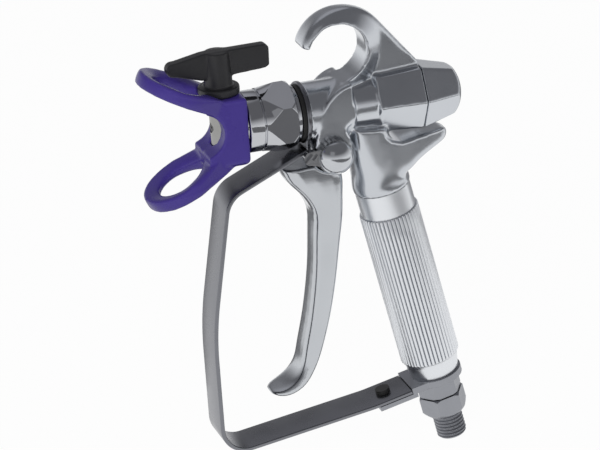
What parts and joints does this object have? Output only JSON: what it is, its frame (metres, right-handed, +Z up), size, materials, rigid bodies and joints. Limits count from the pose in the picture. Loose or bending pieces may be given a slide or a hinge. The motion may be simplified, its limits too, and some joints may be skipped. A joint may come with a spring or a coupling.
{
  "type": "airless paint spray gun",
  "caption": "Cast airless paint spray gun with a long trigger, guard strap, hanging hook, fluted grip, hose inlet and a reversible spray tip in a looped guard.",
  "frame": {"origin": "centre of the hose thread at its shoulder, at the foot of the handle", "axes": "+Z up, -X the way the gun sprays, +Y to the right of someone who holds the gun and sprays along -X"},
  "size_m": [0.1427, 0.0393, 0.2068],
  "materials": {
    "cast_body": "polished casting",
    "grip_aluminium": "satin",
    "trigger_aluminium": "polished",
    "inlet_zinc": "dull zinc plate",
    "strap_steel": "polished",
    "nut_chrome": "polished",
    "guard_plastic": "gloss",
    "tip_plastic": "matte",
    "gasket_rubber": "matte",
    "screw_steel": "polished",
    "dark_steel": "blackened",
    "inner_steel": "turned",
    "carbide": "ground",
    "inner_brass": "turned",
    "seal_plastic": "matte"
  },
  "bodies": {
    "frame": {"gun_body": "cast_body", "end_cap": "cast_body", "grip_tube": "grip_aluminium", "guard_bracket": "inlet_zinc", "bracket_pin": "dark_steel", "swivel_nut": "inlet_zinc", "trigger_guard": "strap_steel", "front_gasket": "gasket_rubber", "pivot_screw": "screw_steel", "dome_nut": "screw_steel", "pivot_washer": "screw_steel", "seat_housing": "inner_steel", "valve_seat": "carbide", "seat_gasket": "inner_brass", "packing_seal": "seal_plastic", "packing_nut": "inner_brass", "handle_filter": "seal_plastic", "filter_spring": "inner_steel", "filter_seal": "gasket_rubber"},
    "trigger": {"trigger": "trigger_aluminium"},
    "lock": {"trigger_lock": "screw_steel"},
    "valve": {"needle": "inner_steel", "needle_driver": "inner_steel", "needle_spring": "inner_steel"},
    "nut": {"retaining_nut": "nut_chrome"},
    "guard": {"tip_guard": "guard_plastic", "tip_seat": "inner_brass"},
    "tip": {"tip_handle": "tip_plastic", "tip_cylinder": "inner_steel", "spray_orifice": "carbide"},
    "inlet": {"inlet_fitting": "inlet_zinc"}
  },
  "joints": [
    {"name": "trigger_pull", "type": "hinge", "parent": "frame", "child": "trigger", "pos_m": [-0.04875, 0, 0.13279], "axis": [0, -1, 0], "range_deg": [0, 12], "stiffness_Nm_per_rad": 2, "springref_deg": -17.19},
    {"name": "needle_slide", "type": "slide", "parent": "frame", "child": "valve", "axis": [1, 0, 0], "range_m": [0, 0.002], "deforming": ["needle_spring"]},
    {"name": "lock_turn", "type": "hinge", "parent": "frame", "child": "lock", "pos_m": [-0.04875, 0, 0.13279], "axis": [0, -1, 0], "range_deg": [0, 75]},
    {"name": "nut_turn", "type": "hinge", "parent": "frame", "child": "nut", "pos_m": [-0.07255, 0, 0.14929], "axis": [1, 0, 0], "continuous": true},
    {"name": "guard_turn", "type": "hinge", "parent": "frame", "child": "guard", "pos_m": [-0.08855, 0, 0.14929], "axis": [1, 0, 0], "range_deg": [-90, 90]},
    {"name": "tip_turn", "type": "hinge", "parent": "guard", "child": "tip", "pos_m": [-0.09365, 0, 0.14929], "axis": [0, 0, 1], "range_deg": [0, 180]},
    {"name": "inlet_turn", "type": "hinge", "parent": "frame", "child": "inlet", "pos_m": [0, 0, 0], "axis": [0.213, 0, -0.977], "continuous": true}
  ],
  "couplings": [
    {"joint": "needle_slide", "follows": "trigger_pull", "m_per_rad": 0.009549}
  ]
}
